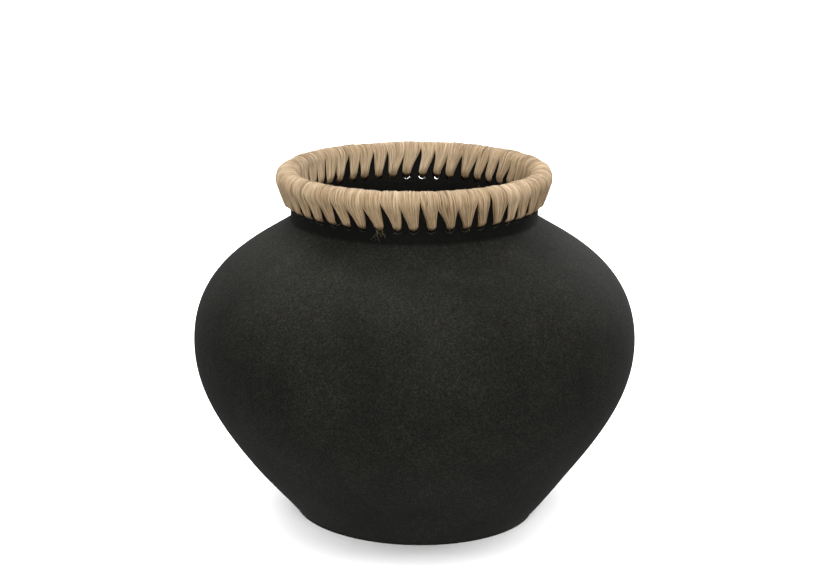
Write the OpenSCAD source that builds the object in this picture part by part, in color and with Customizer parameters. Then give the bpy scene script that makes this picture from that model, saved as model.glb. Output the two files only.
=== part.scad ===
// Wide-bellied clay pot with a short collar. The rounded lip is wrapped in
// raffia, one bundle for each small hole pierced through the collar.
// The origin is the centre of the foot's underside, and +Z points up.

/* [Body] */
// Widest diameter, at the belly
belly_d = 350; // [300:1:400]
// Height of the belly's widest point
belly_z = 140; // [115:1:165]
// Diameter of the foot
foot_d = 192; // [150:1:220]
// Height of the short steep foot, below the body's wall
foot_h = 4.8; // [2:0.1:10]
// Diameter where the body's wall starts, on top of the foot
foot_top_d = 197.2; // [160:0.1:230]
// Slope of the wall as it leaves the foot, in degrees from level
foot_angle = 50; // [35:1:70]
// Thickness of the body's wall
wall = 7; // [4:0.5:10]
// Thickness of the floor
floor_t = 10; // [6:0.5:16]

/* [Shoulder, neck and lip] */
// Height of the crease between shoulder and neck
neck_z = 237.5; // [225:0.5:250]
// Outer diameter of the neck
neck_d = 194; // [170:1:220]
// Height of the neck's straight part, up to where it starts to flare
neck_h = 8.5; // [4:0.5:12]
// Slope of the shoulder as it meets the neck, in degrees from level
shoulder_angle = 39; // [25:1:50]
// Thickness of the neck's wall
neck_wall = 8; // [6:0.5:10]
// How far the lip's middle stands out from the neck's outer face
lip_flare = 2.4; // [0:0.1:6]
// Height of the lip's middle above the crease
lip_rise = 33; // [28:0.5:40]
// Thickness of the rounded lip
lip_t = 11; // [8:0.5:14]

/* [Raffia lacing] */
// Number of lacing holes, each with one stitch
stitch_count = 47; // [36:1:54]
// Diameter of a lacing hole
hole_d = 6.5; // [5:0.1:7]
// Height of the holes above the crease, at the middle of the wall
hole_rise = 14.3; // [12:0.1:16]
// Downward slope of the holes towards the outside, in degrees
hole_tilt = 22; // [0:1:30]
// Thickness of a bundle where it lies on the clay
raffia_t = 3; // [2:0.1:4]
// How far a bundle leans sideways on its way up to the lip, in degrees of turn
lean = 2; // [-3:0.5:3]

/* [Hidden] */
$fn = 96;

curve_steps = 20;      // straight steps in each long curve of the body
arc_steps = 18;        // steps round the lip
foot_pull = 0.59;      // how far each end of the body's two curves runs on along
belly_pull_down = 0.3; // its own direction, as a share of that curve's height
belly_pull_up = 0.65;
shoulder_pull = 0.28;
edge_round = 1.5;      // rounding of the foot's lower edge
ring_w = 18;           // width of the ring the pot stands on
recess_h = 2;          // depth of the hollow inside that ring
floor_round = 16;      // rounding between floor and wall, inside
throat_more = 2;       // the throat flares this much higher up than the neck
lay_gap = 0.4;         // between raffia and clay, at the middle of a stitch
hole_gap = 0.25;       // between a bundle and the top of its hole
stitch_gap = 0.3;      // between neighbouring stitches at the lip
bundle_d = 4.6;        // thickness of a bundle in its hole
fan_h = 18;            // height over which a bundle spreads to its full width
fan_margin = 1.1;      // fan's width at the lip, as a share of the stitch's sector

belly_r = belly_d / 2;
neck_r = neck_d / 2;
foot_r = foot_d / 2;
recess_r = foot_r - ring_w;
throat_r = neck_r - neck_wall;
lip_r = lip_t / 2;
lip_centre = [neck_r + lip_flare, neck_z + lip_rise];
flare_foot = [neck_r, neck_z + neck_h];
throat_top = [throat_r, neck_z + neck_h + throat_more];
pitch = 360 / stitch_count;

// Names of the sub-parts
function stitch_name(i) = str("raffia_stitch_", i < 10 ? "0" : "", i);

// A point on the Bezier curve with the four control points p, t from 0 to 1
function on_curve(p, t) =
    pow(1 - t, 3) * p[0] + 3 * pow(1 - t, 2) * t * p[1] + 3 * (1 - t) * t * t * p[2] + pow(t, 3) * p[3];

// Its direction there, as a unit vector
function along_curve(p, t) =
    let (d = pow(1 - t, 2) * (p[1] - p[0]) + 2 * (1 - t) * t * (p[2] - p[1]) + t * t * (p[3] - p[2]))
    d / norm(d);

// Points along the curve, moved inwards by depth (to the left of its direction)
function curve_points(p, depth) = [
    for (i = [0 : curve_steps])
        let (t = i / curve_steps, d = along_curve(p, t))
        on_curve(p, t) + depth * [-d[1], d[0]]
];

// The body's wall in two curves, from foot to belly and from belly to crease
function lower_wall() =
    let (start = [foot_top_d / 2, foot_h], rise = belly_z - foot_h)
    [start,
     start + foot_pull * rise * [cos(foot_angle), sin(foot_angle)],
     [belly_r, belly_z - belly_pull_down * rise],
     [belly_r, belly_z]];

function upper_wall() =
    let (rise = neck_z - belly_z)
    [[belly_r, belly_z],
     [belly_r, belly_z + belly_pull_up * rise],
     [neck_r, neck_z] + shoulder_pull * rise * [cos(shoulder_angle), -sin(shoulder_angle)],
     [neck_r, neck_z]];

// Angle of the line from a point that just touches the lip circle, side -1 on
// its outer side and 1 on its inner side
function touch_angle(point, side) =
    let (v = lip_centre - point)
    atan2(v[1], v[0]) + side * asin(lip_r / norm(v));

outer_angle = touch_angle(flare_foot, -1);
inner_angle = touch_angle(throat_top, 1);

// A lacing hole's axis crosses the middle of the flaring wall here
hole_outside = neck_r + (hole_rise - neck_h) / tan(outer_angle);
hole_inside = throat_r + (hole_rise - neck_h - throat_more) / tan(inner_angle);
hole_centre = [(hole_outside + hole_inside) / 2, neck_z + hole_rise];
bundle_lift = (hole_d - bundle_d) / 2 - hole_gap;

// The lip's outline from the flare's foot over the top to the throat, standing
// off the clay by off
function lip_outline(off) = concat(
    [flare_foot + off * [sin(outer_angle), -cos(outer_angle)]],
    [for (i = [0 : arc_steps])
        let (a = outer_angle - 90 + (inner_angle + 180 - outer_angle) * i / arc_steps)
        lip_centre + (lip_r + off) * [cos(a), sin(a)]],
    [throat_top + off * [-sin(inner_angle), cos(inner_angle)]]
);

// Rounded corner between wall point a, corner b and floor point c
function soft_corner(a, b, c) = [
    for (i = [1 : arc_steps])
        let (t = i / arc_steps)
        pow(1 - t, 2) * a + 2 * (1 - t) * t * b + t * t * c
];

function reversed(list) = [for (i = [len(list) - 1 : -1 : 0]) list[i]];

// Inside of the body, from the neck down to the middle of the floor
function inner_outline() =
    let (
        upper = curve_points(upper_wall(), wall),
        lower = [for (p = curve_points(lower_wall(), wall)) if (p[1] > floor_t + floor_round / 2) p],
        corner = [lower[0][0] - (lower[0][1] - floor_t) / tan(foot_angle), floor_t]
    )
    concat(
        [[throat_r, neck_z]],
        reversed(upper),
        reversed([for (i = [0 : len(lower) - 2]) lower[i]]),
        soft_corner(lower[0], corner, corner - [floor_round, 0]),
        [[0, floor_t]]
    );

function foot_outline() = concat(
    [[0, recess_h], [recess_r - recess_h, recess_h], [recess_r, 0]],
    [for (a = [-90 : 15 : 0]) [foot_r - edge_round, edge_round] + edge_round * [cos(a), sin(a)]]
);

function outer_outline() =
    let (upper = curve_points(upper_wall(), 0))
    concat(
        curve_points(lower_wall(), 0),
        [for (i = [1 : curve_steps]) upper[i]]
    );

// Moves its children to a lacing hole's axis at the middle of the wall: their X
// then points out along the hole, and their Z up the wall
module at_hole() {
    translate([hole_centre[0], 0, hole_centre[1]])
        rotate([0, hole_tilt, 0])
            children();
}

module lacing_hole() {
    at_hole()
        rotate([0, 90, 0])
            cylinder(d = hole_d, h = 4 * neck_wall, center = true);
}

module clay_pot() {
    color("#232320")
        difference() {
            rotate_extrude()
                polygon(concat(foot_outline(), outer_outline(), lip_outline(0), inner_outline()));
            for (i = [1 : stitch_count])
                rotate([0, 0, stitch_angle(i)])
                    lacing_hole();
        }
}

// The first stitch is at the front, and the others follow anticlockwise from above
function stitch_angle(i) = -90 + (i - 1) * pitch;

// Flat band of raffia lying over the lip where the stitch crosses it, wider
// than the stitch, before it is cut to the stitch's outline
module raffia_band() {
    rotate([90, 0, -lean])
        linear_extrude(height = 4 * PI * lip_centre[0] / stitch_count, center = true)
            polygon(concat(lip_outline(lay_gap + raffia_t), reversed(lip_outline(lay_gap))));
}

// One stitch's share of the circle, seen from above
module stitch_sector() {
    reach = lip_centre[0] + lip_t + raffia_t;
    half = pitch / 2 - asin(stitch_gap / 2 / throat_r);
    rotate([0, 0, -lean])
        linear_extrude(height = lip_centre[1] + lip_t + raffia_t)
            polygon([[0, 0], reach * [cos(half), -sin(half)], reach * [cos(half), sin(half)]]);
}

// One stitch's outline seen along its hole: it starts inside the round bundle
// and fans out, leaning over on the way up
module stitch_fan() {
    tip = 0.4 * bundle_d;
    side = fan_margin * PI * (lip_centre[0] + lip_r + raffia_t) / stitch_count;
    shift = -neck_r * lean * PI / 180;
    at_hole()
        rotate([0, -90, 0])
            linear_extrude(height = 6 * neck_wall, center = true)
                polygon([
                    [bundle_lift, tip],
                    [fan_h, shift + side],
                    [3 * fan_h, shift + side],
                    [3 * fan_h, shift - side],
                    [fan_h, shift - side],
                    [bundle_lift, -tip]
                ]);
}

// The bundle inside its hole
module hole_bundle() {
    at_hole()
        translate([0, 0, bundle_lift])
            rotate([0, 90, 0])
                cylinder(d = bundle_d, h = neck_wall + 2 * raffia_t, center = true);
}

module raffia_stitch(i) {
    color("#c2a57c")
        rotate([0, 0, stitch_angle(i)]) {
            intersection() {
                raffia_band();
                stitch_sector();
                stitch_fan();
            }
            hole_bundle();
        }
}

clay_pot();
for (i = [1 : stitch_count])
    raffia_stitch(i);
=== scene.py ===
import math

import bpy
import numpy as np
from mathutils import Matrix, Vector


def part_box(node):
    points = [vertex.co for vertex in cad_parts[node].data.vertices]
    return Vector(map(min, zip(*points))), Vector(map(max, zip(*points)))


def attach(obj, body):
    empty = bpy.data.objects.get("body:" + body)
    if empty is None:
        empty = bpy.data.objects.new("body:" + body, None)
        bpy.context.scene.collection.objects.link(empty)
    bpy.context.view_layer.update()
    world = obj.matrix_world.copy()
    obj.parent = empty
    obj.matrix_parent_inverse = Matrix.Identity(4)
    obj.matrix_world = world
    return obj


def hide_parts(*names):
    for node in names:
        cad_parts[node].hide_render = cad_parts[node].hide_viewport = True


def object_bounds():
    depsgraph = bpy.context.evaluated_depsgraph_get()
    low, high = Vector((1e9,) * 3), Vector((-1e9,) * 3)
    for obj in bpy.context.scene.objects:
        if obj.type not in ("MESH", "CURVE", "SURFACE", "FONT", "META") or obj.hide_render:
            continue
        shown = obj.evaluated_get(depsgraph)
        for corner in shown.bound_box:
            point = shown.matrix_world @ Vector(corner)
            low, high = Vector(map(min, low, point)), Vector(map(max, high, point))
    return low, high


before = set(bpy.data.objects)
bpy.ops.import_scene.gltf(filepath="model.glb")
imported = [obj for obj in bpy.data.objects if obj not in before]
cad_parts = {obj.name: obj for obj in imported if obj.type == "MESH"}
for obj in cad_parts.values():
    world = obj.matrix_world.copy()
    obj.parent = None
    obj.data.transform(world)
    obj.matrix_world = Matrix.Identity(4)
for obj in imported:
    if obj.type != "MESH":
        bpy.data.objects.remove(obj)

# A wide-bellied black clay pot whose rounded lip is wrapped in raffia, one
# bundle for each small hole pierced through the collar. Metres, +Z up, with
# the front towards -Y.

cad_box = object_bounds()
pot_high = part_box("clay_pot")[1]
MM = 0.001

# ---------------------------------------------------------------- sizes

# The pot's sizes, the same as in the CAD
BELLY_R = pot_high[0]
TOP_Z = pot_high[2]
BELLY_Z = 140 * MM
FOOT_R = 96 * MM
FOOT_H = 4.8 * MM
FOOT_TOP_R = 98.6 * MM
FOOT_ANGLE = math.radians(50)
FOOT_EDGE = 1.5 * MM
RECESS_R = 78 * MM
RECESS_H = 2 * MM
WALL = 7 * MM
FLOOR_T = 10 * MM
FLOOR_ROUND = 16 * MM
NECK_R = 97 * MM
NECK_Z = 237.5 * MM
NECK_H = 8.5 * MM
NECK_WALL = 8 * MM
THROAT_MORE = 2 * MM
SHOULDER_ANGLE = math.radians(39)
LIP_FLARE = 2.4 * MM
LIP_R = 5.5 * MM
HOLE_R = 3.25 * MM
HOLE_RISE = 14.3 * MM
HOLE_TILT = math.radians(22)
HOLE_STRAY = math.radians(0.45)   # the CAD's holes are evenly spaced

# Softening of the collar's corners, and the longest step along the outline
CREASE_ROUND = 2.2 * MM
FLARE_ROUND = 2.5 * MM
THROAT_ROUND = 3 * MM
INNER_NECK_ROUND = 2.5 * MM
LONGEST_STEP = 3.5 * MM

# How far each end of the body's two curves runs on along its own direction
FOOT_PULL = 0.59
BELLY_PULL_DOWN = 0.3
BELLY_PULL_UP = 0.65
SHOULDER_PULL = 0.28

stitches = sorted(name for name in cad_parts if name.startswith("raffia_stitch_"))
PITCH = 2 * math.pi / len(stitches)
THROAT_R = NECK_R - NECK_WALL
LIP_CENTRE = np.array([NECK_R + LIP_FLARE, TOP_Z - LIP_R])
FLARE_FOOT = np.array([NECK_R, NECK_Z + NECK_H])
THROAT_TOP = np.array([THROAT_R, NECK_Z + NECK_H + THROAT_MORE])


def heading(angle):
    """Unit vector at this angle in the plane of the pot's outline."""
    return np.array([math.cos(angle), math.sin(angle)])


def touch_angle(point, side):
    """Angle of the line from point that just touches the lip's circle."""
    away = LIP_CENTRE - point
    return math.atan2(away[1], away[0]) + side * math.asin(LIP_R / np.hypot(*away))


OUTER_ANGLE = touch_angle(FLARE_FOOT, -1)
INNER_ANGLE = touch_angle(THROAT_TOP, 1)
QUARTER = math.pi / 2


# ---------------------------------------------------------------- meshes

def mesh_object(name, verts, faces):
    """New smooth-shaded mesh object."""
    mesh = bpy.data.meshes.new(name)
    mesh.from_pydata(verts, [], faces)
    mesh.validate()
    mesh.shade_smooth()
    piece = bpy.data.objects.new(name, mesh)
    bpy.context.scene.collection.objects.link(piece)
    return piece


def blended(low, high, value):
    """0 below low, 1 above high, and a smooth rise between."""
    share = np.clip((value - low) / (high - low), 0, 1)
    return share * share * (3 - 2 * share)


# ---------------------------------------------------------------- the pot's outline

def bezier(start, pull, push, end, steps):
    """Points and unit directions along a cubic Bezier curve."""
    t = np.linspace(0, 1, steps)[:, None]
    s = 1 - t
    place = s**3 * start + 3 * s * s * t * pull + 3 * s * t * t * push + t**3 * end
    ahead = s * s * (pull - start) + 2 * s * t * (push - pull) + t * t * (end - push)
    return place, ahead / np.linalg.norm(ahead, axis=1)[:, None]


def lower_wall(steps=56):
    """The outside from the foot up to the belly."""
    start = np.array([FOOT_TOP_R, FOOT_H])
    end = np.array([BELLY_R, BELLY_Z])
    rise = BELLY_Z - FOOT_H
    pull = start + FOOT_PULL * rise * heading(FOOT_ANGLE)
    return bezier(start, pull, end - [0, BELLY_PULL_DOWN * rise], end, steps)


def upper_wall(steps=56):
    """The outside from the belly up to the crease below the neck."""
    start = np.array([BELLY_R, BELLY_Z])
    end = np.array([NECK_R, NECK_Z])
    rise = NECK_Z - BELLY_Z
    push = end + SHOULDER_PULL * rise * heading(-SHOULDER_ANGLE)
    return bezier(start, start + [0, BELLY_PULL_UP * rise], push, end, steps)


def inside_of(curve):
    """The wall's inner face, behind this curve of its outside."""
    place, ahead = curve
    return place + WALL * np.stack([-ahead[:, 1], ahead[:, 0]], axis=1)


def rounded(before, corner, after, reach, steps=6):
    """A corner softened over this reach on both sides."""
    a = corner + (before - corner) * reach / np.linalg.norm(before - corner)
    c = corner + (after - corner) * reach / np.linalg.norm(after - corner)
    t = np.linspace(0, 1, steps)[:, None]
    return (1 - t)**2 * a + 2 * (1 - t) * t * corner + t * t * c


def lip_arc(steps=26):
    """Round the lip, from where the flare touches it to where the throat does."""
    turn = np.linspace(OUTER_ANGLE - QUARTER, INNER_ANGLE + QUARTER, steps)
    return LIP_CENTRE + LIP_R * np.stack([np.cos(turn), np.sin(turn)], axis=1)


def refined(points, longest):
    """The same outline with no step longer than this."""
    done = [points[0]]
    for a, b in zip(points[:-1], points[1:]):
        steps = max(1, math.ceil(np.linalg.norm(b - a) / longest))
        done.extend(a + (b - a) * k / steps for k in range(1, steps + 1))
    return np.array(done)


def outer_outline():
    """From the middle of the recess under the foot up to the neck's flare."""
    turn = np.linspace(-QUARTER, 0, 7)
    edge_centre = np.array([FOOT_R - FOOT_EDGE, FOOT_EDGE])
    foot_edge = edge_centre + FOOT_EDGE * np.stack([np.cos(turn), np.sin(turn)], axis=1)
    lower, _ = lower_wall()
    upper, _ = upper_wall()
    neck_foot = np.array([NECK_R, NECK_Z])
    return np.concatenate([
        [[0, RECESS_H], [RECESS_R - RECESS_H, RECESS_H], [RECESS_R, 0]],
        foot_edge,
        lower,
        upper[1:-2],
        rounded(upper[-4], neck_foot, FLARE_FOOT, CREASE_ROUND),
        rounded(neck_foot, FLARE_FOOT, lip_arc()[0], FLARE_ROUND),
    ])


def inner_outline():
    """From the lip down the throat and the wall to the middle of the floor."""
    throat_foot = np.array([THROAT_R, NECK_Z])
    upper = inside_of(upper_wall())
    lower = inside_of(lower_wall())
    lower = lower[lower[:, 1] > FLOOR_T + FLOOR_ROUND / 2]
    low = lower[0]
    corner = np.array([low[0] - (low[1] - FLOOR_T) / math.tan(FOOT_ANGLE), FLOOR_T])
    t = np.linspace(0, 1, 12)[1:, None]
    return np.concatenate([
        rounded(lip_arc()[-1], THROAT_TOP, throat_foot, THROAT_ROUND),
        rounded(THROAT_TOP, throat_foot, upper[-4], INNER_NECK_ROUND),
        upper[-3:0:-1],
        lower[::-1],
        (1 - t)**2 * low + 2 * (1 - t) * t * corner + t * t * (corner - [FLOOR_ROUND, 0]),
        [[0, FLOOR_T]],
    ])


def pot_outline():
    """The whole section, from under the foot over the lip to the floor."""
    return refined(np.concatenate([outer_outline(), lip_arc(), inner_outline()]), LONGEST_STEP)


# ---------------------------------------------------------------- the clay pot

ROUND_STEPS = 320
UNEVEN = 0.45 * MM
FOOT_OVAL = 2.4 * MM
SHARP_ANGLE = math.radians(38)


def hand_made(x, y, z):
    """Small sideways unevenness of a pot built by hand."""
    rng = np.random.default_rng(11)
    around = np.arctan2(y, x)
    bump = np.zeros_like(x)
    for lobes in (2, 3, 4, 5, 7, 9):
        for _ in range(2):
            phase, rate = rng.uniform(0, 2 * math.pi), rng.uniform(15, 45)
            bump += np.sin(lobes * around + phase) * np.sin(rate * z + 3 * phase) / lobes
    grow = 1 + UNEVEN * bump * blended(0, 30 * MM, z) / BELLY_R
    grow *= 1 - FOOT_OVAL / FOOT_R * np.sin(2 * around) * (1 - blended(4 * MM, 45 * MM, z))
    return x * grow, y * grow


def pot_mesh():
    """The outline turned round the axis, as one closed skin."""
    outline = pot_outline()
    rings = outline[1:-1]
    count = len(rings)
    turn = np.arange(ROUND_STEPS) * 2 * math.pi / ROUND_STEPS
    x = np.outer(np.cos(turn), rings[:, 0]).ravel()
    y = np.outer(np.sin(turn), rings[:, 0]).ravel()
    z = np.tile(rings[:, 1], ROUND_STEPS)
    x, y = hand_made(x, y, z)
    verts = np.stack([x, y, z], axis=1).tolist()
    under = len(verts)
    inside = under + 1
    verts += [(0, 0, outline[0, 1]), (0, 0, outline[-1, 1])]
    faces = []
    for i in range(ROUND_STEPS):
        a, b = i * count, (i + 1) % ROUND_STEPS * count
        faces.append((under, b, a))
        faces.append((inside, a + count - 1, b + count - 1))
        faces.extend((a + k, b + k, b + k + 1, a + k + 1) for k in range(count - 1))
    return mesh_object("fired_clay_pot", verts, faces)


stray = np.random.default_rng(3).uniform(-HOLE_STRAY, HOLE_STRAY, len(stitches))


def hole_angle(index):
    """The holes are set by eye, so they stray a little from even spacing."""
    return index * PITCH - QUARTER + stray[index]


hole_outside = NECK_R + (HOLE_RISE - NECK_H) / math.tan(OUTER_ANGLE)
hole_inside = THROAT_R + (HOLE_RISE - NECK_H - THROAT_MORE) / math.tan(INNER_ANGLE)
HOLE_CENTRE = np.array([(hole_outside + hole_inside) / 2, NECK_Z + HOLE_RISE])
HOLE_OUT = heading(-HOLE_TILT)
HOLE_UP = heading(QUARTER - HOLE_TILT)


# Along a hole from the inside out: millimetres from the middle of the wall,
# and width there as a share of the hole's own. The ends widen into worn edges.
PUNCH = [(-14, 1.75), (-6.2, 1.3), (-3.4, 1), (3.6, 1), (6.2, 1.5), (14, 1.8)]
PUNCH_SIDES = 28
OUTER_EDGE = 3   # the stretch of the punch that cuts the widened outer edge, which gets the painted highlight
PLAIN_CLAY = 0
# slot of the clay with a painted highlight round the holes' outer edges
EDGE_HIGHLIGHT_CLAY = 1


def punch_points(turn):
    """The rings of points of one hole's punch, at this angle round the pot."""
    points = []
    for along, wide in PUNCH:
        for k in range(PUNCH_SIDES):
            a = 2 * math.pi * k / PUNCH_SIDES
            r, z = HOLE_CENTRE + along * MM * HOLE_OUT + HOLE_R * wide * math.cos(a) * HOLE_UP
            aside = HOLE_R * wide * math.sin(a)
            x = r * math.cos(turn) - aside * math.sin(turn)
            y = r * math.sin(turn) + aside * math.cos(turn)
            points.append((x, y, z))
    return points


def hole_cutters():
    """A punch for each hole. Its faces leave their material on the clay they
    cut: clay with a painted highlight round the hole's outer edge, and plain clay elsewhere."""
    verts, faces, slots = [], [], []
    for index in range(len(stitches)):
        first = len(verts)
        verts += punch_points(hole_angle(index))
        for s in range(len(PUNCH) - 1):
            for k in range(PUNCH_SIDES):
                a = first + s * PUNCH_SIDES + k
                b = first + s * PUNCH_SIDES + (k + 1) % PUNCH_SIDES
                faces.append((a, a + PUNCH_SIDES, b + PUNCH_SIDES, b))
                slots.append(EDGE_HIGHLIGHT_CLAY if s == OUTER_EDGE else PLAIN_CLAY)
        last = first + (len(PUNCH) - 1) * PUNCH_SIDES
        faces.append([first + k for k in range(PUNCH_SIDES)])
        faces.append([last + k for k in reversed(range(PUNCH_SIDES))])
        slots += [PLAIN_CLAY, PLAIN_CLAY]
    punches = mesh_object("hole_punches", verts, faces)
    punches.data.polygons.foreach_set("material_index", slots)
    return punches


def cut_away(piece, cutter):
    """Takes the cutter out of the piece and removes it."""
    cut = piece.modifiers.new("cut", "BOOLEAN")
    cut.operation = "DIFFERENCE"
    cut.solver = "MANIFOLD"
    cut.object = cutter
    ready = piece.evaluated_get(bpy.context.evaluated_depsgraph_get())
    mesh = bpy.data.meshes.new_from_object(ready)
    piece.modifiers.remove(cut)
    piece.data = mesh
    bpy.data.objects.remove(cutter)


def make_pot():
    """The pot with its holes cut, in plain clay and in clay with a painted highlight round the
    holes' outer edges.
    """
    pot = pot_mesh()
    punches = hole_cutters()
    plain = clay_material("matt_black_clay", COLLAR_SHADE_TONE)
    edge_highlight = clay_material("edge_highlight_clay", EDGE_HIGHLIGHT_TONE)
    for material in (plain, edge_highlight):
        pot.data.materials.append(material)
        punches.data.materials.append(material)
    cut_away(pot, punches)
    pot.data.shade_smooth()
    pot.data.set_sharp_from_angle(angle=SHARP_ANGLE)
    return pot


# ---------------------------------------------------------------- raffia

LAY = 0.3 * MM         # between raffia and clay
HOLE_HALF = 3.0 * MM   # half a bundle's width in its hole
EDGE_HALF = 3.1 * MM   # where it bends round the hole's edge
TIP_HALF = 3.35 * MM   # and where it comes out, before it fans
LEAN_OUTSIDE = math.radians(-1.7)
LEAN_INSIDE = math.radians(-2.7)
BORDER_OVERLAP = math.radians(0.25)
BORDER_STRAY = 0.19   # of the distance between two holes, to either side
OPEN_HOLES = range(22, 25)   # these three at the back let some light through

# Heights where a bundle starts to fan out and reaches its full width
OUTER_START = 254 * MM
OUTER_FULL = 273 * MM
INNER_START = 255 * MM
INNER_FULL = 275.5 * MM

STRANDS = 44
STRAND_SIDES = 5
HALF_WIDE = (0.24 * MM, 0.6 * MM)     # thinnest and widest strand
HALF_THICK = (0.11 * MM, 0.18 * MM)

# How pale a bundle is on the raffia's ramp, and how much painted shade darkens its core below the
# strands
RAFFIA_TONE = 0.585
TONE_SPREAD = 0.07
CORE_PAINTED_SHADE = 0.12


def crossing(a, along_a, b, along_b):
    """Where two lines in the outline's plane meet."""
    share = np.linalg.solve(np.stack([along_a, -along_b], axis=1), b - a)
    return a + along_a * share[0]


def lacing_loop():
    """The closed way round the lip that the raffia takes: through the hole
    under its ceiling, up the outside, over the lip and down the inside.
    Gives points on the clay, the angle of the clay's outward normal at each,
    and the name of the stretch it lies on."""
    ceiling = HOLE_CENTRE + HOLE_R * HOLE_UP
    outer_edge = crossing(ceiling, HOLE_OUT, FLARE_FOOT, heading(OUTER_ANGLE))
    inner_edge = crossing(ceiling, HOLE_OUT, THROAT_TOP, heading(INNER_ANGLE))
    lip = lip_arc()
    down = -QUARTER - HOLE_TILT
    outward = OUTER_ANGLE - QUARTER
    inward = INNER_ANGLE + QUARTER
    full = 2 * math.pi
    middle = (outer_edge + inner_edge) / 2
    stretches = [
        ("hole", middle, outer_edge, down, down, 4),
        ("edge", outer_edge, outer_edge, down, outward, 8),
        ("outside", outer_edge, lip[0], outward, outward, 14),
        ("lip", None, None, outward, inward, 16),
        ("inside", lip[-1], inner_edge, inward, inward, 12),
        ("edge", inner_edge, inner_edge, inward, down + full, 8),
        ("hole", inner_edge, middle, down + full, down + full, 4),
    ]
    base, normal, kind = [], [], []
    for name, start, end, turn, turned, steps in stretches:
        for k in range(steps):
            share = k / steps
            angle = turn + (turned - turn) * share
            if name == "lip":
                base.append(LIP_CENTRE + LIP_R * heading(angle))
            else:
                base.append(start + (end - start) * share)
            normal.append(angle)
            kind.append(name)
    return np.array(base), np.array(normal), np.array(kind)


LOOP, LOOP_NORMAL, LOOP_KIND = lacing_loop()
LOOP_OUT = np.stack([np.cos(LOOP_NORMAL), np.sin(LOOP_NORMAL)], axis=1)
LOOP_STEPS = len(LOOP)
TOP_STEP = int(np.argmax(LOOP[:, 1]))
on_outside = np.arange(LOOP_STEPS) <= TOP_STEP
in_hole = LOOP_KIND == "hole"
at_edge = LOOP_KIND == "edge"


def loop_smooth(values, times):
    """Evens out steps between neighbours on the closed loop."""
    for _ in range(times):
        values = (np.roll(values, 1) + 2 * values + np.roll(values, -1)) / 4
    return values


def along_loop(hole, edge, laid, times):
    """One value for each step, by the kind of stretch it lies on."""
    return loop_smooth(np.where(in_hole, hole, np.where(at_edge, edge, laid)), times)


# How round the bundle is, half its width before it fans, and its thickness.
# In the hole it is thicker on the outside, and thinner where light gets through.
LAID_THICK = 3 * MM
EDGE_THICK = np.where(on_outside, 2.3 * MM, 1.9 * MM)
HOLE_THICK = np.where(on_outside, 6.0 * MM, 3.9 * MM)
LOOP_ROUND = along_loop(1.0, 0.6, 0.0, 6)
LOOP_TIP = along_loop(HOLE_HALF, EDGE_HALF, TIP_HALF, 3)
FULL_THICK = along_loop(HOLE_THICK, EDGE_THICK, LAID_THICK, 2)
OPEN_THICK = along_loop(HOLE_THICK - 1 * MM, EDGE_THICK, LAID_THICK, 2)


def spread_share(full_z_outside, full_z_inside):
    """How far the bundle has fanned out at each step, from 0 at the hole."""
    z = LOOP[:, 1]
    outside = np.clip((z - OUTER_START) / (full_z_outside - OUTER_START), 0, 1)
    inside = np.clip((z - INNER_START) / (full_z_inside - INNER_START), 0, 1) ** 1.1
    return loop_smooth(np.where(on_outside, outside, inside), 2)


def lean_share():
    """Turn of the bundle's middle at each step, before its own variation."""
    z = LOOP[:, 1]
    top = LIP_CENTRE[1]
    outside = LEAN_OUTSIDE * np.clip((z - OUTER_START) / (top - OUTER_START), 0, 1)
    inside = LEAN_INSIDE * np.clip((z - INNER_START) / (top - INNER_START), 0, 1)
    over_lip = blended(OUTER_ANGLE - QUARTER, INNER_ANGLE + QUARTER, LOOP_NORMAL)
    return loop_smooth(outside * (1 - over_lip) + inside * over_lip, 3)


def painted_raffia_shade():
    """Painted shade on the raffia, as how much browner and dimmer it gets: a little
    where it fans out on the outside and behind the lip, more at its tips, and
    most in its hole. The inside below the lip is painted paler, as painted light."""
    z = LOOP[:, 1]
    low = 1 - np.clip((z - OUTER_START) / (OUTER_FULL - OUTER_START), 0, 1)
    inside = np.where(z < INNER_FULL - 2 * MM, -0.14, 0.15)
    side = loop_smooth(np.where(on_outside, 0.12 * low, inside), 2)
    tip = along_loop(0.14, 0.14, 0.0, 10)
    shadow = along_loop(0.95, 0.0, 0.0, 5)
    return side + tip + shadow


LEAN = lean_share()
# Painted shade along the loop; where it is negative, painted light
PAINTED_SHADE = painted_raffia_shade()


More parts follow.
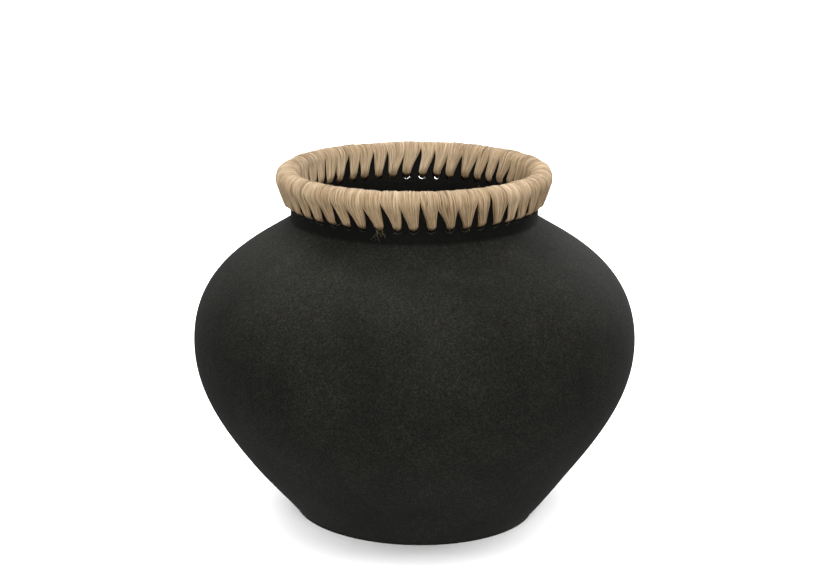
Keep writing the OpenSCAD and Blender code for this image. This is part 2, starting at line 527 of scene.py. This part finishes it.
class Bundle:
    """Shape of one raffia bundle, between its borders before and after: u runs
    across it from -1 to 1, and t from 0 on the clay to 1 on its crown."""

    def __init__(self, index, before, after, rng):
        self.turn = hole_angle(index)
        self.lean = LEAN * rng.uniform(0.5, 1.5)
        self.tip = LOOP_TIP * rng.uniform(0.88, 1.08) / LOOP[:, 0]
        self.merged = []
        self.minus = self.fan(before, -1)
        self.plus = self.fan(after, 1)
        laid = OPEN_THICK if index in OPEN_HOLES else FULL_THICK
        self.thick = laid * (1 + (1 - LOOP_ROUND) * rng.uniform(-0.12, 0.12))

    def fan(self, border, side):
        """Half-width at each step as an angle, out to the border on this side."""
        angle, outer_full, inner_full = border
        reach = side * (angle + LEAN - self.turn - self.lean) + BORDER_OVERLAP
        share = spread_share(outer_full, inner_full)
        self.merged.append(share ** 3)
        return self.tip + (reach - self.tip) * share

    def place(self, u, t):
        """Points for arrays of shape (strands, loop steps). A bundle is flat
        on the clay, joined to its neighbours on the lip, and round in its hole."""
        merged = np.where(u > 0, self.merged[1], self.merged[0])
        lone = np.clip(1 - np.abs(u) ** 2.6, 0, 1) ** 0.5
        joined = 1 - 0.2 * np.abs(u) ** 4
        edge = lone + (joined - lone) * merged
        laid = t * edge
        held = 0.5 + (t - 0.5) * np.clip(1 - u * u, 0, 1) ** 0.5
        off = LAY + self.thick * (laid * (1 - LOOP_ROUND) + held * LOOP_ROUND)
        r = LOOP[:, 0] + LOOP_OUT[:, 0] * off
        z = LOOP[:, 1] + LOOP_OUT[:, 1] * off
        angle = self.turn + self.lean + np.where(u > 0, u * self.plus, u * self.minus)
        return np.stack([r * np.cos(angle), r * np.sin(angle), z], axis=-1)


def unit(vectors):
    """The same directions, one long."""
    return vectors / np.linalg.norm(vectors, axis=-1, keepdims=True)


def loop_waves(rng, count, cycles):
    """Smooth random waves round the closed loop, one row per strand."""
    way = np.arange(LOOP_STEPS) / LOOP_STEPS * 2 * math.pi
    waves = np.zeros((count, LOOP_STEPS))
    for cycle in cycles:
        phase = rng.uniform(0, 2 * math.pi, (count, 1))
        size = rng.normal(0, 1, (count, 1)) / cycle ** 0.7
        waves += size * np.sin(cycle * way + phase)
    return waves


class Tubes:
    """Collects closed tubes, with each vertex's fibre place and tone."""

    def __init__(self):
        self.verts, self.faces, self.fibre, self.tone = [], [], [], []

    def add_rings(self, rings, fibre, tone, closed=True):
        """Rings and fibre are (steps, sides, 3), and tone is (steps, sides)."""
        steps, sides = rings.shape[:2]
        first = len(self.verts)
        self.verts.extend(rings.reshape(-1, 3).tolist())
        self.fibre.extend(fibre.reshape(-1, 3).tolist())
        self.tone.extend(tone.ravel().tolist())
        for s in range(steps if closed else steps - 1):
            a, b = first + s * sides, first + (s + 1) % steps * sides
            for k in range(sides):
                n = (k + 1) % sides
                self.faces.append((a + k, a + n, b + n, b + k))
        if not closed:
            self.faces.append([first + k for k in reversed(range(sides))])
            last = first + (steps - 1) * sides
            self.faces.append([last + k for k in range(sides)])

    def piece(self, name):
        """One mesh of all the tubes, with what its material reads."""
        made = mesh_object(name, self.verts, self.faces)
        fibre = made.data.attributes.new("fibre", "FLOAT_VECTOR", "POINT")
        fibre.data.foreach_set("vector", np.array(self.fibre).ravel())
        tone = made.data.attributes.new("tone", "FLOAT", "POINT")
        tone.data.foreach_set("value", np.array(self.tone))
        return made


def path_length(points):
    """How far along the line each point lies."""
    steps = np.linalg.norm(np.diff(points, axis=0), axis=1)
    return np.concatenate([[0], np.cumsum(steps)])


CORE_SIDES = 20
CORE_WIDE = 0.97
CORE_LEVEL = 0.84


def add_core(tubes, bundle, tone):
    """The packed fibres under the strands that show."""
    a = 2 * math.pi * np.arange(CORE_SIDES) / CORE_SIDES
    u = np.tile(CORE_WIDE * np.cos(a)[:, None], (1, LOOP_STEPS))
    level = np.tile((np.sin(a)[:, None] > -0.01) * CORE_LEVEL, (1, LOOP_STEPS))
    points = bundle.place(u, level)
    fibre = np.stack([
        np.tile(u[:, 0] * 6 * MM, (LOOP_STEPS, 1)),
        np.tile(path_length(points[0])[:, None], (1, CORE_SIDES)),
        np.full((LOOP_STEPS, CORE_SIDES), tone * 3.0),
    ], axis=-1)
    tones = np.tile((tone - PAINTED_SHADE)[:, None], (1, CORE_SIDES))
    tubes.add_rings(np.transpose(points, (1, 0, 2)), fibre, tones)


SLIT_SHARE = 0.3   # of the strands have one
SLIT_REACH = 2.5   # in steps round the loop
slit_rng = np.random.default_rng(7)


def painted_gap_shade():
    """Short stretches painted dark on some strands: painted shade of the gaps that thin ends
    leave.
    """
    middle = slit_rng.uniform(0, LOOP_STEPS, (STRANDS, 1))
    depth = slit_rng.uniform(0.2, 0.75, (STRANDS, 1))
    depth = np.where(slit_rng.random((STRANDS, 1)) < SLIT_SHARE, depth, 0)
    away = np.abs(np.arange(LOOP_STEPS) - middle)
    away = np.minimum(away, LOOP_STEPS - away)
    return depth * np.exp(-(away / SLIT_REACH) ** 2)


def strand_courses(rng):
    """Where each strand runs across its bundle, and how high on its crown."""
    home = np.linspace(-0.97, 0.97, STRANDS) + rng.normal(0, 0.035, STRANDS)
    level = np.where(np.arange(STRANDS) % 2 == 0, 0.9, 1.0) + rng.uniform(-0.04, 0.04, STRANDS)
    skew = rng.normal(0, 0.08, (STRANDS, 1))
    way = np.arange(LOOP_STEPS) / LOOP_STEPS * 2 * math.pi
    u = home[:, None] + 0.03 * loop_waves(rng, STRANDS, (1, 2, 3)) - skew * np.sin(way)
    t = level[:, None] + 0.03 * loop_waves(rng, STRANDS, (2, 3, 5, 9))
    return np.clip(u, -1.0, 1.0), t


def strand_axes(bundle, u, t):
    """Each strand's middle line, with its sideways and upward directions."""
    small = 0.02
    spot = bundle.place(u, t)
    across = unit(bundle.place(u + small, t) - bundle.place(u - small, t))
    ahead = unit(np.roll(spot, -1, axis=1) - np.roll(spot, 1, axis=1))
    up = unit(np.cross(ahead, across))
    return spot, unit(np.cross(up, ahead)), up


def strand_rings(spot, across, up, wide, thick, twist):
    """One flat, twisting strand, and how far sideways each of its points lies."""
    a = 2 * math.pi * np.arange(STRAND_SIDES) / STRAND_SIDES
    wide = np.outer(wide, np.cos(a))
    thick = np.outer(thick, np.sin(a))
    cos, sin = np.cos(twist)[:, None], np.sin(twist)[:, None]
    sideways = (wide * cos - thick * sin)[:, :, None] * across[:, None]
    upwards = (wide * sin + thick * cos)[:, :, None] * up[:, None]
    return spot[:, None] + sideways + upwards, wide


def add_strands(tubes, bundle, rng, base_tone):
    """Flat raffia strands lying side by side and over each other."""
    u, t = strand_courses(rng)
    spot, across, up = strand_axes(bundle, u, t)
    span = (bundle.plus + bundle.minus) * LOOP[:, 0]
    half_wide = rng.uniform(*HALF_WIDE, (STRANDS, 1)) * (span / span.max()) ** 0.6
    half_thick = rng.uniform(*HALF_THICK, (STRANDS, 1)) * np.ones(LOOP_STEPS)
    twist = 0.2 * loop_waves(rng, STRANDS, (1, 2, 4))
    tones = base_tone + rng.normal(0, 0.14, (STRANDS, 1))
    # Painted shade of the gaps and along the loop darkens each strand's tone
    tones = tones + 0.07 * loop_waves(rng, STRANDS, (1, 2, 4, 7)) - painted_gap_shade() - PAINTED_SHADE
    for s in range(STRANDS):
        axes = spot[s], across[s], up[s]
        rings, sideways = strand_rings(*axes, half_wide[s], half_thick[s], twist[s])
        fibre = np.stack([
            sideways,
            np.tile(path_length(spot[s])[:, None], (1, STRAND_SIDES)),
            np.full(sideways.shape, s * 0.37 + base_tone),
        ], axis=-1)
        tubes.add_rings(rings, fibre, np.tile(tones[s][:, None], (1, STRAND_SIDES)))


HAIR_R = 0.045 * MM
HAIR_STEPS = 9
HAIR_TAPER = 0.75
STRAY_HAIRS = 6
HAIR_FREE = 10   # no stray hair starts this near the hole's middle, in steps
TUFT_HAIRS = 7
TUFT_DROP = 2.5 * MM
OUTER_BEND = 8   # the loop's step in the middle of the bend round the hole's edge


def add_hair(tubes, start, ahead, length, bend, tone):
    """One loose fibre, curving away and tapering to its end."""
    ahead = unit(ahead)
    side = unit(np.cross(ahead, bend))
    points = []
    place = start.copy()
    for _ in range(HAIR_STEPS):
        points.append(place.copy())
        ahead = unit(ahead + bend)
        place = place + ahead * length / HAIR_STEPS
    other = unit(np.cross(ahead, side))
    rings = []
    for k, point in enumerate(points):
        r = HAIR_R * (1 - HAIR_TAPER * k / (HAIR_STEPS - 1))
        rings.append([point + r * side, point + r * other, point - r * side, point - r * other])
    fibre = np.zeros((HAIR_STEPS, 4, 3))
    fibre[:, :, 1] = path_length(np.array(points))[:, None]
    tubes.add_rings(np.array(rings), fibre, np.full((HAIR_STEPS, 4), tone), closed=False)


def add_stray_hairs(tubes, bundle, rng):
    """Loose fibres that stand off the bundle."""
    for _ in range(STRAY_HAIRS):
        step = int(rng.integers(HAIR_FREE, LOOP_STEPS - HAIR_FREE))
        u = np.full((1, LOOP_STEPS), rng.uniform(-0.9, 0.9))
        spots = bundle.place(u, np.full((1, LOOP_STEPS), 1.0))[0]
        ahead = unit(spots[step + 1] - spots[step])
        out = np.array([*(LOOP_OUT[step, 0] * heading(bundle.turn)), LOOP_OUT[step, 1]])
        lift = ahead * rng.choice([-1, 1]) + out * rng.uniform(0.1, 0.45) + rng.normal(0, 0.25, 3)
        bend = rng.normal(0, 0.12, 3) - out * 0.05
        add_hair(tubes, spots[step], lift, rng.uniform(3, 8) * MM, bend, rng.uniform(0.5, 1.1))


def add_tuft(tubes, bundle, rng):
    """Frayed ends that hang out of the hole, below the bundle."""
    outward = np.array([*heading(bundle.turn), 0.0])
    side = np.array([-outward[1], outward[0], 0.0])
    down = np.array([0, 0, -0.7])
    lower_edge = np.array([0, 0, LOOP[OUTER_BEND, 1] - TUFT_DROP])
    for _ in range(TUFT_HAIRS):
        start = outward * (LOOP[OUTER_BEND, 0] + rng.uniform(0.5, 3) * MM)
        start = start + side * rng.uniform(-3, 3) * MM + lower_edge
        lift = outward * rng.uniform(0.2, 0.7) + side * rng.normal(0, 0.7) + down
        bend = rng.normal(0, 0.09, 3)
        add_hair(tubes, start, lift, rng.uniform(6, 14) * MM, bend, rng.uniform(0.5, 0.9))


def stitch_borders(rng):
    """Angle of each border between two stitches at the lip, with the heights
    where their fans meet outside and inside."""
    count = len(stitches)
    borders = []
    for index in range(count):
        ahead = hole_angle((index + 1) % count) + (2 * math.pi if index == count - 1 else 0)
        angle = (hole_angle(index) + ahead) / 2 + rng.uniform(-BORDER_STRAY, BORDER_STRAY) * PITCH
        outer_full = OUTER_FULL + rng.uniform(-5, 3.5) * MM
        inner_full = INNER_FULL + rng.uniform(-3.5, 1.5) * MM
        borders.append((angle, outer_full, inner_full))
    return borders


def make_bundles():
    """One piece for each stitch, with the name of the node it replaces. The
    last but one, left of the front, is frayed below."""
    rng = np.random.default_rng(5)
    borders = stitch_borders(rng)
    frayed = len(stitches) - 2
    made = []
    for index, node in enumerate(stitches):
        before = borders[index - 1]
        if index == 0:
            before = (before[0] - 2 * math.pi, *before[1:])
        bundle = Bundle(index, before, borders[index], rng)
        tone = rng.normal(RAFFIA_TONE, TONE_SPREAD)
        tubes = Tubes()
        add_core(tubes, bundle, tone - CORE_PAINTED_SHADE)
        add_strands(tubes, bundle, rng, tone)
        add_stray_hairs(tubes, bundle, rng)
        if index == frayed:
            add_tuft(tubes, bundle, rng)
        piece = tubes.piece(node.replace("stitch", "bundle"))
        made.append((piece, node))
    return made


# ---------------------------------------------------------------- materials

def grey(level):
    """Neutral colour of this brightness."""
    return (level, level, level)


class NodeMaterial:
    """A material made of nodes, with short ways to add and link them."""

    def __init__(self, name, roughness, specular):
        self.material = bpy.data.materials.new(name)
        self.material.use_nodes = True
        self.tree = self.material.node_tree
        self.shader = self.tree.nodes["Principled BSDF"]
        self.shader.inputs["Roughness"].default_value = roughness
        self.shader.inputs["Specular IOR Level"].default_value = specular

    def add(self, kind, **settings):
        """New node; each setting is a socket's value or a property."""
        node = self.tree.nodes.new("ShaderNode" + kind)
        for key, value in settings.items():
            if key in node.inputs:
                node.inputs[key].default_value = value
            else:
                setattr(node, key, value)
        return node

    def link(self, output, socket):
        self.tree.links.new(output, socket)

    def attribute(self, name):
        return self.add("Attribute", attribute_name=name)

    def noise(self, vector, scale, detail, roughness):
        node = self.add("TexNoise", Scale=scale, Detail=detail, Roughness=roughness)
        self.link(vector, node.inputs["Vector"])
        return node.outputs["Fac"]

    def share(self, value, low, high, curve="LINEAR"):
        """0 where value is low, and 1 where it is high."""
        node = self.add("MapRange", interpolation_type=curve)
        node.inputs["From Min"].default_value = low
        node.inputs["From Max"].default_value = high
        self.link(value, node.inputs["Value"])
        return node.outputs["Result"]

    def shade(self, value, stops):
        """Colour of value on the ramp through these (place, colour) stops."""
        node = self.add("ValToRGB")
        elements = node.color_ramp.elements
        while len(elements) < len(stops):
            elements.new(0.5)
        for element, (place, colour) in zip(elements, stops):
            element.position = place
            element.color = (*colour, 1)
        self.link(value, node.inputs["Fac"])
        return node.outputs["Color"]

    def times(self, one, other):
        """One colour multiplied by the other."""
        node = self.add("MixRGB", blend_type="MULTIPLY", Fac=1.0)
        self.link(one, node.inputs["Color1"])
        self.link(other, node.inputs["Color2"])
        return node.outputs["Color"]

    def scaled(self, value, factor):
        """Node for value * factor + its third input."""
        node = self.add("Math", operation="MULTIPLY_ADD")
        node.inputs[1].default_value = factor
        self.link(value, node.inputs[0])
        return node

    def relief(self, height, strength, distance):
        """Fine relief of the surface, as bump."""
        bump = self.add("Bump", Strength=strength, Distance=distance)
        self.link(height, bump.inputs["Height"])
        self.link(bump.outputs["Normal"], self.shader.inputs["Normal"])


CLAY_ROUGHNESS = 0.82
CLAY_SPECULAR = 0.15
COLLAR_SHADE_TONE = 0.26   # painted shade: the collar under the lip is painted darker than the body
EDGE_HIGHLIGHT_TONE = 1.5      # painted highlight: round the holes' outer edges the collar is painted paler
COLLAR_FADE = 40 * MM
# painted shade: the clay is painted darker from this height down to the foot
FOOT_SHADE_TOP = 85 * MM
SPECK_COLOUR = (0.045, 0.042, 0.036, 1)


def clay_body(made, where, mottle, grain, collar_painted_tone):
    """Cloudy, mottled and dusty clay, with painted light on the shoulder below the collar,
    painted shade on the collar and painted shade towards the foot.
    """
    clouds = made.shade(made.noise(where, 17.0, 5.0, 0.6), [
        (0.33, (0.0071, 0.0071, 0.0057)),
        (0.67, (0.0139, 0.0138, 0.0112)),
    ])
    patches = made.shade(mottle, [(0.3, grey(0.71)), (0.7, grey(1.29))])
    dusting = made.shade(grain, [(0.3, grey(0.25)), (0.5, grey(0.92)), (0.72, (2.3, 2.28, 2.2))])
    place = made.add("SeparateXYZ")
    made.link(where, place.inputs[0])
    # Painted light on the shoulder just below the collar, then the collar's painted tone above
    # the crease: painted shade in the plain clay, a painted highlight in the clay round the
    # holes' edges.
    collar = made.shade(made.share(place.outputs["Z"], NECK_Z - COLLAR_FADE, NECK_Z + 2 * MM), [
        (0.0, grey(1)),
        (0.65, grey(1.2)),
        (0.93, (1.25, 1.25, 1.24)),
        (0.99, grey(collar_painted_tone)),
    ])
    # Painted shade, darker towards the foot.
    low = made.share(place.outputs["Z"], 0.0, FOOT_SHADE_TOP, "SMOOTHSTEP")
    foot_shade = made.shade(low, [(0.0, grey(0.66)), (1.0, grey(1))])
    return made.times(made.times(made.times(clouds, patches), made.times(dusting, collar)), foot_shade)


def rare_specks(made, where):
    """1 on a few small pale specks, and 0 elsewhere."""
    specks = made.add("TexVoronoi", Scale=420.0)
    made.link(where, specks.inputs["Vector"])
    dots = made.shade(specks.outputs["Distance"], [(0.10, grey(1)), (0.14, grey(0))])
    chance = made.add("SeparateColor")
    made.link(specks.outputs["Color"], chance.inputs["Color"])
    rare = made.shade(chance.outputs["Red"], [(0.93, grey(0)), (0.935, grey(1))])
    return made.times(dots, rare)


def clay_material(name, collar_painted_tone):
    """Matt unburnished black clay with a fine grain and faint cloudy patches."""
    made = NodeMaterial(name, CLAY_ROUGHNESS, CLAY_SPECULAR)
    where = made.add("TexCoord").outputs["Object"]
    mottle = made.noise(where, 260.0, 4.0, 0.7)
    grain = made.noise(where, 760.0, 3.0, 0.65)
    colour = made.add("MixRGB", Color2=SPECK_COLOUR)
    made.link(rare_specks(made, where), colour.inputs["Fac"])
    made.link(clay_body(made, where, mottle, grain, collar_painted_tone), colour.inputs["Color1"])
    made.link(colour.outputs["Color"], made.shader.inputs["Base Color"])
    height = made.scaled(grain, 0.6)
    made.link(mottle, height.inputs[2])
    made.relief(height.outputs[0], 0.45, 0.6 * MM)
    return made.material


RAFFIA_ROUGHNESS = 0.52
RAFFIA_SPECULAR = 0.5


def raffia_material():
    """Dry raffia: pale straw with darker fibres running along each strand."""
    made = NodeMaterial("dry_raffia", RAFFIA_ROUGHNESS, RAFFIA_SPECULAR)
    stretch = made.add("VectorMath", operation="MULTIPLY")
    stretch.inputs[1].default_value = (3200, 90, 61)
    made.link(made.attribute("fibre").outputs["Vector"], stretch.inputs[0])
    streaks = made.noise(stretch.outputs["Vector"], 1.0, 3.0, 0.6)
    tone = made.scaled(made.attribute("tone").outputs["Fac"], 0.55)
    tone.inputs[2].default_value = -0.22
    mixed = made.scaled(streaks, 0.9)
    made.link(tone.outputs[0], mixed.inputs[2])
    colour = made.shade(mixed.outputs[0], [
        (0.0, (0.012, 0.008, 0.005)),
        (0.15, (0.145, 0.088, 0.043)),
        (0.45, (0.395, 0.270, 0.146)),
        (0.65, (0.575, 0.425, 0.262)),
        (0.95, (0.74, 0.615, 0.445)),
    ])
    made.link(colour, made.shader.inputs["Base Color"])
    made.relief(streaks, 0.4, 0.2 * MM)
    return made.material


def floor_material():
    """Plain pale floor."""
    made = NodeMaterial("pale_floor", 0.9, 0.0)
    made.shader.inputs["Base Color"].default_value = (*grey(0.82), 1)
    return made.material


# ---------------------------------------------------------------- camera, floor and light

CAMERA_DISTANCE = 1.70
CAMERA_ELEVATION = math.radians(14.72)
AIM_SHARE = 0.6335
CAMERA_ASIDE = 0.5 * MM
LENS_MM = 93.0
SENSOR_MM = 36.0


def make_camera():
    """From the front, a little above, as the photo was taken."""
    low, high = cad_box
    aim = Vector((CAMERA_ASIDE, 0, low[2] + AIM_SHARE * (high[2] - low[2])))
    away = Vector((0, -math.cos(CAMERA_ELEVATION), math.sin(CAMERA_ELEVATION)))
    data = bpy.data.cameras.new("camera")
    data.lens = LENS_MM
    data.sensor_width = SENSOR_MM
    camera = bpy.data.objects.new("camera", data)
    camera.location = aim + away * CAMERA_DISTANCE
    camera.rotation_euler = (QUARTER - CAMERA_ELEVATION, 0, 0)
    bpy.context.scene.collection.objects.link(camera)
    bpy.context.scene.camera = camera


FLOOR_REACH = 12.0
FLOOR_SIDES = 64


def make_floor():
    """A wide disc. The pot doesn't see it: the world's lower half stands in."""
    turn = [2 * math.pi * k / FLOOR_SIDES for k in range(FLOOR_SIDES)]
    verts = [(FLOOR_REACH * math.cos(a), FLOOR_REACH * math.sin(a), 0) for a in turn]
    floor = mesh_object("floor", verts, [list(range(FLOOR_SIDES))])
    floor.data.materials.append(floor_material())
    floor.visible_diffuse = False
    floor.visible_glossy = False
    return floor


def sun(name, azimuth, elevation, strength, width):
    """Soft light from far away. Angles are in degrees, and azimuth 0 is the
    front, positive to the right."""
    data = bpy.data.lights.new(name, "SUN")
    data.energy = strength
    data.angle = math.radians(width)
    light = bpy.data.objects.new(name, data)
    light.rotation_euler = (QUARTER - math.radians(elevation), 0, math.radians(azimuth))
    bpy.context.scene.collection.objects.link(light)
    return light


FLOOR_GLOW = 0.66   # the world's strength below the horizon
ROOM_GLOW = 0.22    # and above it


def make_world():
    """A pale room. Its lower half is the bright floor's light on the pot."""
    world = bpy.data.worlds.new("pale_room")
    world.use_nodes = True
    tree = world.node_tree
    back = tree.nodes["Background"]
    direction = tree.nodes.new("ShaderNodeTexCoord")
    split = tree.nodes.new("ShaderNodeSeparateXYZ")
    share = tree.nodes.new("ShaderNodeMapRange")
    tree.links.new(direction.outputs["Generated"], split.inputs[0])
    tree.links.new(split.outputs["Z"], share.inputs["Value"])
    tree.links.new(share.outputs["Result"], back.inputs["Strength"])
    share.inputs["From Min"].default_value = -0.03
    share.inputs["From Max"].default_value = 0.06
    share.inputs["To Min"].default_value = FLOOR_GLOW
    share.inputs["To Max"].default_value = ROOM_GLOW
    back.inputs["Color"].default_value = (1, 1, 1, 1)
    bpy.context.scene.world = world


def make_light(floor):
    """Soft studio light, with washes that fall on the floor alone and keep it
    white outside the pot's shadow."""
    make_world()
    sun("front", azimuth=0, elevation=25, strength=1.95, width=40)
    sun("overhead", azimuth=0, elevation=88, strength=2.7, width=60)
    sun("left_back", azimuth=-160, elevation=45, strength=1.3, width=40)
    sun("right_back", azimuth=145, elevation=20, strength=1.15, width=30)
    floor_only = bpy.data.collections.new("floor_only")
    floor_only.objects.link(floor)
    washes = [
        sun("floor_left", azimuth=-105, elevation=42, strength=3.2, width=55),
        sun("floor_right", azimuth=105, elevation=42, strength=3.2, width=55),
        sun("floor_front", azimuth=0, elevation=20, strength=1.8, width=40),
    ]
    for wash in washes:
        wash.light_linking.receiver_collection = floor_only
    bpy.context.scene.view_settings.view_transform = "Standard"


# ---------------------------------------------------------------- the scene

make_camera()
make_light(make_floor())

pot = make_pot()
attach(pot, "root")
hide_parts("clay_pot")

raffia = raffia_material()
for bundle_piece, node in make_bundles():
    bundle_piece.data.materials.append(raffia)
    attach(bundle_piece, "root")
    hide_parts(node)
